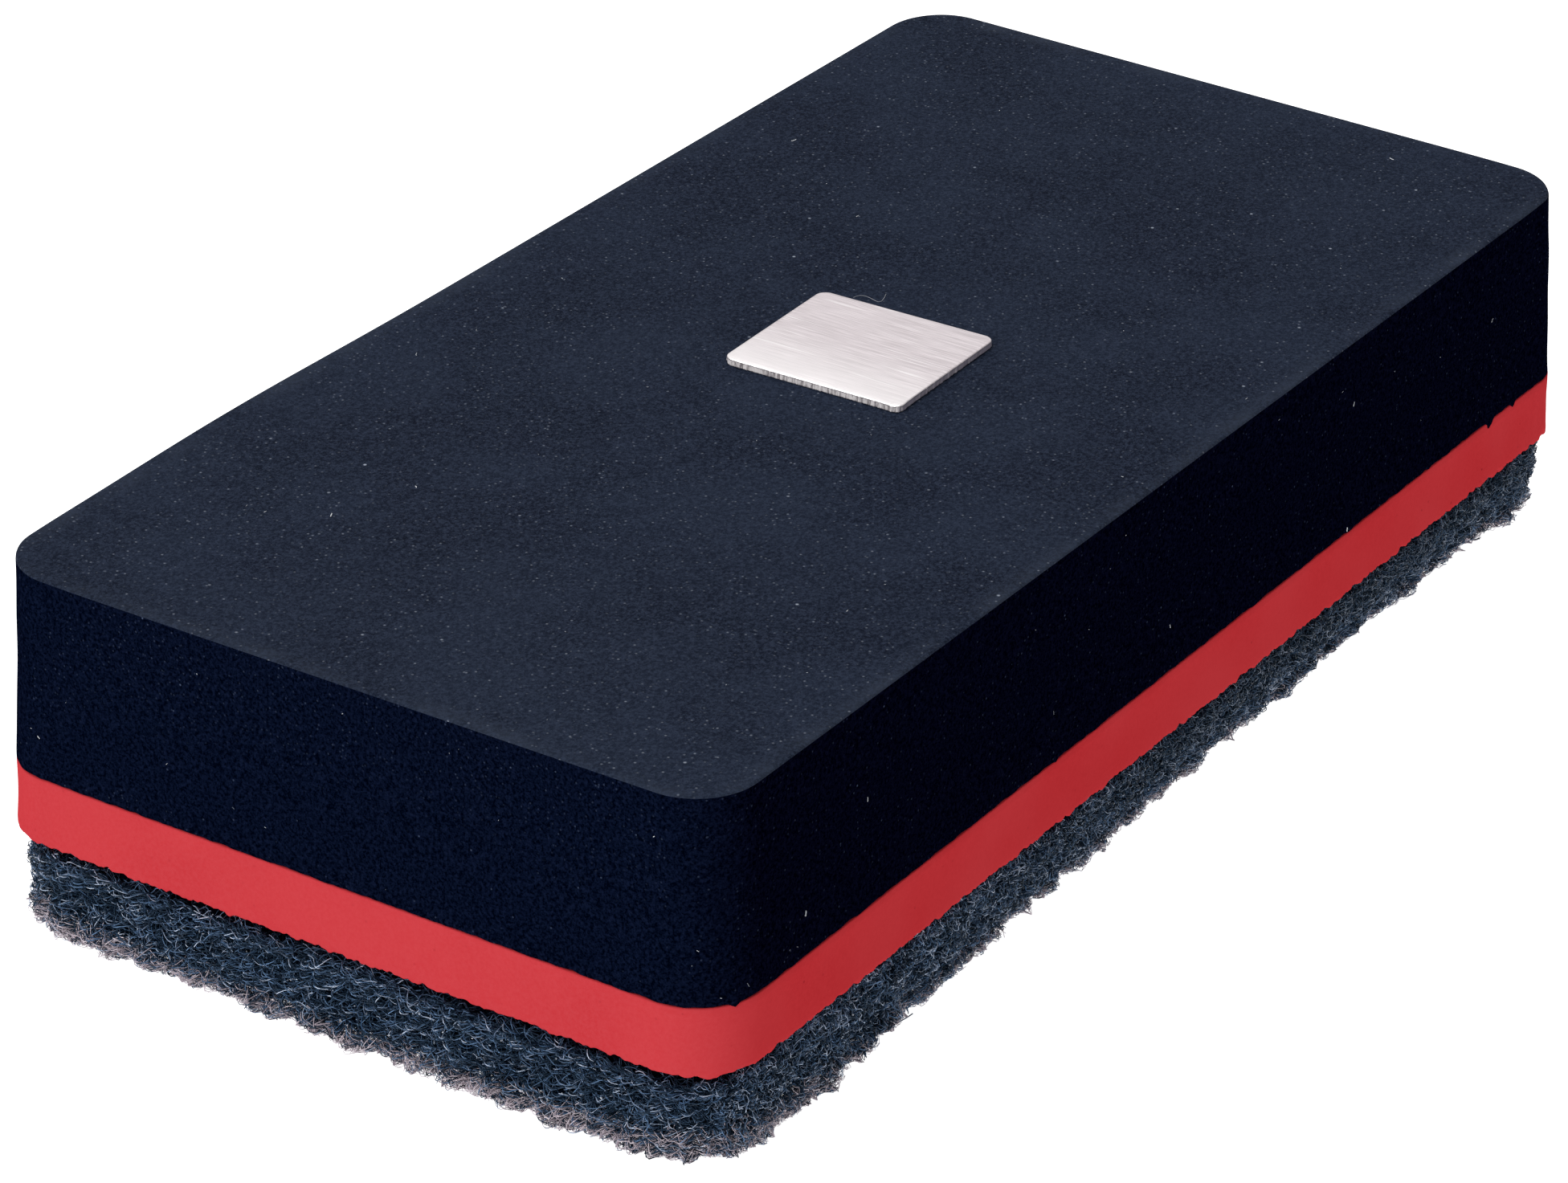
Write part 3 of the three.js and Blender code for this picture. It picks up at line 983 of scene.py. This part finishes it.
def fibre_pieces(name, paths, thickness, material):
    """Tubes along the paths, in as many pieces as the triangle limit needs."""
    radii = thickness * FIBRE_RADIUS
    sides = 3
    triangles = 2 * sides * (paths.shape[1] - 1) + 2 * (sides - 2)
    share = max(1, math.ceil(len(paths) * triangles / PIECE_TRIANGLES))
    for index, group in enumerate(np.array_split(np.arange(len(paths)), share), 1):
        vertices, faces = tubes(paths[group], radii[group], sides)
        make_piece(f"{name}_{index}", vertices, faces, [material], "pad")


def wiping_pad():
    rng = np.random.default_rng(47)
    shell = pad_shell()
    swell = plane_waves(rng, 16, 2.5, 9.0)
    tuft = plane_waves(rng, 16, 1.2, 4.0)

    def lumps(u, v):
        low_edge = np.clip((v - shell.side_end + LOW_EDGE_ZONE) / LOW_EDGE_ZONE, 0, 1)
        swell_height, tuft_height = (least + more * low_edge for least, more in (SWELL, TUFT))
        return swell_height * swell(u, v) + tuft_height * tuft(u, v)

    web_core_block(rng, shell, lumps)
    fibre = web_fibre("web_fibre", (0, 9, 28), (104, 134, 172))
    side = (shell.side_start - 1.0, shell.side_end + 0.8)
    starts = scattered(rng, shell, SIDE_FIBRES.count, 1.0)
    lay_fibres(rng, shell, lumps, "side_fibres", SIDE_FIBRES, starts, side, fibre)
    # Pale fibres, laid more densely on the long sides as painted highlight.
    pale = web_fibre("web_pale", (54, 80, 114), (212, 224, 244), 2.1)
    starts = scattered(rng, shell, PALE_FIBRES.count, PALE_END_SHARE)
    lay_fibres(rng, shell, lumps, "pale_fibres", PALE_FIBRES, starts, side, pale)
    # Pale mauve fuzz and tufts on the lower edge: painted light standing in for the bright floor seen
    # through the sparse fringe.
    fuzz_painted_light = web_fibre("web_fuzz_painted_light", (158, 146, 155), (238, 226, 233), 1.5, 0.8)
    starts = scattered(rng, shell, EDGE_FUZZ.count, FUZZ_REAR_SHARE, by_front_corner)
    fringe = (shell.side_end - 0.1 - FRINGE_RISE * by_front_corner(shell, starts), shell.side_end + 1.8)
    lay_fibres(rng, shell, lumps, "edge_fuzz", EDGE_FUZZ, starts, fringe, fuzz_painted_light)
    top = box_mm("wiping_pad")[1][2]
    lay_sheet(rng, shell.plan, "top_fibres", TOP_FIBRES, top + 0.05, 1, fibre)
    lay_sheet(rng, shell.plan, "under_fibres", UNDER_FIBRES, 0.05, -1, fibre)
    edge_tufts(rng, shell, lumps, fuzz_painted_light)
    resin_beads(rng, shell, lumps)


def edge_tufts(rng, shell, lumps, material):
    """Small pointed tufts where the knife pulled fibres out of the lower edge."""
    tip_u = rng.uniform(0, shell.plan.perimeter, TUFTS)
    tip_v = shell.side_end + rng.uniform(-0.3, 1.6, TUFTS)
    reach = np.minimum(rng.exponential(0.2, TUFTS) + 0.1, LONGEST_TUFT)
    tip_u, tip_v, reach = (np.repeat(values, TUFT_STRANDS)[:, None] for values in (tip_u, tip_v, reach))
    along = np.linspace(0, 1, 5)
    foot_u = tip_u + rng.normal(0, 0.3, (len(tip_u), 1))
    foot_v = tip_v + rng.normal(0, 0.3, (len(tip_u), 1))
    u = foot_u + (tip_u - foot_u) * along**0.7
    v = foot_v + (tip_v - foot_v) * along**0.7
    w = 0.25 - (0.25 + reach) * along + lumps(u, v)
    paths = settled(worn(shell.place(u, v, w)))
    fibre_pieces("edge_tufts", paths, rng.uniform(0.6, 0.9, len(paths)), material)


def web_core_block(rng, shell, lumps):
    """A dark rough block under the fibres, so that no light comes through the web."""
    stops = shell.plan.stops(0.45)
    levels = np.linspace(0, shell.span, 44)
    grit = plane_waves(rng, 30, 0.9, 2.6)
    u, v = np.meshgrid(stops, levels)
    hollow = np.clip((v - shell.side_end + 0.8) / 1.6, 0, 1) * np.clip((shell.span - v) / 2, 0, 1)
    w = CORE_DEPTH + 1.2 * hollow + lumps(u, v) + 0.16 * grit(u, v)
    rings = settled(worn(shell.place(u, v, w))[::-1], CORE_FOOT)
    vertices, faces = close_block(rings, shell.plan, 1.6, lambda x, y: 0.1 * grit(x, y))
    core = make_piece("pad_core", vertices, faces, [web_core()], "pad")
    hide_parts("wiping_pad")


def resin_beads(rng, shell, lumps):
    """Small glinting beads of binder among the side fibres."""
    u = rng.uniform(0, shell.plan.perimeter, (BEADS, 1))
    v = rng.uniform(shell.side_start, shell.side_end + 1.2, (BEADS, 1))
    start = worn(shell.place(u, v, rng.uniform(-0.05, 0.25, (BEADS, 1)) + lumps(u, v)))
    way = rng.normal(0, 1, (BEADS, 1, 3))
    way /= np.linalg.norm(way, axis=2, keepdims=True)
    paths = settled(start + way * np.linspace(0, BEAD_LENGTH, 3)[None, :, None], 0.08)
    vertices, faces = tubes(paths, rng.uniform(0.03, 0.065, BEADS), 5)
    make_piece("resin_beads", vertices, faces, [resin_bead()], "pad")


# -------- dust


def dust():
    """Short pale lint on the foam's top and sides, a few larger flecks and a curly hair by the badge."""
    rng = np.random.default_rng(59)
    low, high = box_mm("black_foam_body")
    plan = plan_of("black_foam_body", BODY_CORNER_RADIUS)
    spots = plan.grid(0.9, 1.5)
    spots = spots[rng.choice(len(spots), TOP_LINT, replace=False)]
    stops = rng.uniform(0, plan.perimeter, SIDE_LINT)
    points, normals = plan.at(stops)
    heights = rng.uniform(low[2] + 0.5, high[2] - 0.6, SIDE_LINT)
    turns = rng.uniform(0, FULL_TURN, SIDE_LINT)
    top = top_lint(rng, spots, rng.exponential(0.1, TOP_LINT) + 0.04)
    side = side_lint(points, normals, heights, turns, rng.exponential(0.1, SIDE_LINT) + 0.04)
    small = np.concatenate([top, side])
    flecks = np.array(RIGHT_SIDE_FLECKS)
    points = np.column_stack([flecks[:, 0], np.full(len(flecks), low[1])])
    normals = np.tile((0.0, -1.0), (len(flecks), 1))
    turns = rng.normal(math.pi / 2, 0.3, len(flecks))
    top = top_lint(rng, np.array(TOP_FLECKS), rng.uniform(0.5, 0.8, len(TOP_FLECKS)))
    side = side_lint(points, normals, high[2] + flecks[:, 1], turns, rng.uniform(0.2, 0.4, len(flecks)))
    large = np.concatenate([top, side])
    share = np.linspace(0, 1, 40)
    curve = np.polyfit(np.linspace(0, 1, len(HAIR_COURSE)), HAIR_COURSE, len(HAIR_COURSE) - 1)
    flat = [np.polyval(curve[:, k], share) for k in (0, 1)]
    hair = np.column_stack([*flat, np.full(len(share), high[2] + 0.04)])[None]
    pale = lint("pale_lint", (150, 154, 160))
    for name, paths, radii, material in (
        ("lint_specks", small, rng.uniform(0.015, 0.03, len(small)), lint("lint", (70, 78, 92))),
        ("flecks", large, rng.uniform(0.035, 0.05, len(large)), pale),
        ("hair", hair, np.array([0.02]), lint("hair", (64, 72, 88))),
    ):
        vertices, faces = tubes(paths, radii, 4)
        make_piece(name, vertices, faces, [material], "holder")


def top_lint(rng, spots, sizes):
    """Centre lines of curled lint lying on the top face."""
    share = np.linspace(0, 1, 5)
    turn = rng.uniform(0, FULL_TURN, (len(spots), 1)) + rng.normal(0, 0.8, (len(spots), 1)) * share
    way = np.stack([np.cos(turn), np.sin(turn)], -1)
    flat = spots[:, None] + sizes[:, None, None] * np.cumsum(way, 1) / len(share)
    height = box_mm("black_foam_body")[1][2] + 0.01
    return np.concatenate([flat, np.full(flat.shape[:2] + (1,), height)], -1)


def side_lint(points, normals, heights, turns, sizes):
    """Centre lines of straight lint stuck to the leaning, slightly bowed sides."""
    low, high = box_mm("black_foam_body")
    bow = SIDE_BOW * np.sin(math.pi * (heights - low[2]) / (high[2] - low[2]))
    out = SIDE_LEAN * (high[2] - heights) - bow + 0.03
    start = np.column_stack([points + normals * out[:, None], heights])
    along = np.column_stack([-normals[:, 1] * np.cos(turns), normals[:, 0] * np.cos(turns), np.sin(turns)])
    return start[:, None] + along[:, None] * sizes[:, None, None] * np.linspace(0, 1, 5)[:, None]


# -------- stage


def studio():
    low, high = box_mm("black_foam_body")
    top = Vector(((low[0] + high[0]) / 2, (low[1] + high[1]) / 2, high[2]))
    lens = bpy.data.cameras.new("camera")
    lens.lens = CAMERA_LENS
    lens.sensor_width = CAMERA_SENSOR
    lens.clip_start = 0.01
    camera = linked("camera", lens)
    place = (top + Vector(CAMERA_PLACE)) * MM
    aim = (top + Vector(CAMERA_AIM)) * MM
    turn = (aim - place).to_track_quat("-Z", "Y").to_matrix()
    turn = turn @ Matrix.Rotation(math.radians(CAMERA_ROLL_DEG), 3, "Z")
    camera.matrix_world = Matrix.Translation(place) @ turn.to_4x4()
    bpy.context.scene.camera = camera

    sheet = bpy.data.meshes.new("floor")
    corners = [(x * FLOOR_REACH_M, y * FLOOR_REACH_M, 0) for x, y in ((-1, -1), (1, -1), (1, 1), (-1, 1))]
    sheet.from_pydata(corners, [], [(0, 1, 2, 3)])
    sheet.materials.append(floor_paint())
    floor = linked("floor", sheet)

    world = bpy.data.worlds.new("studio")
    world.use_nodes = True
    sky = world.node_tree.nodes["Background"]
    sky.inputs["Color"].default_value = (1.0, 1.0, 1.0, 1.0)
    sky.inputs["Strength"].default_value = SKY_GLOW
    bpy.context.scene.world = world
    bpy.context.scene.view_settings.view_transform = "Standard"

    softbox("key", place=(-0.8, 0.1, 0.7), size=0.6, power=6.6)
    softbox("top", place=(0.05, 0.3, 1.05), size=0.9, power=6.5)
    softbox("rear", place=(0.66, 0.43, 0.5), size=0.8, power=1.0)


def softbox(name, place, size, power):
    """A square area light aimed at the eraser."""
    light = bpy.data.lights.new(name, "AREA")
    light.shape = "SQUARE"
    light.size = size
    light.energy = power
    lamp = linked(name, light)
    lamp.location = place
    lamp.rotation_euler = (-Vector(place)).to_track_quat("-Z", "Y").to_euler()


# -------- scene

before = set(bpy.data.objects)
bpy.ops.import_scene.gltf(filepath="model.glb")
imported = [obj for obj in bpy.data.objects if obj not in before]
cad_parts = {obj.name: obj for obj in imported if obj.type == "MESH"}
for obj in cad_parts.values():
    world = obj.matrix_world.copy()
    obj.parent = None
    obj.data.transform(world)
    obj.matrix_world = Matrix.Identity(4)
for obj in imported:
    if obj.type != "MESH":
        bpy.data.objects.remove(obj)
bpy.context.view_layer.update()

studio()
black_foam_body()
red_foam_layer()
badge_plate()
for strip_side in ("left", "right"):
    hook_strip(strip_side)
inner_parts()
wiping_pad()
dust()
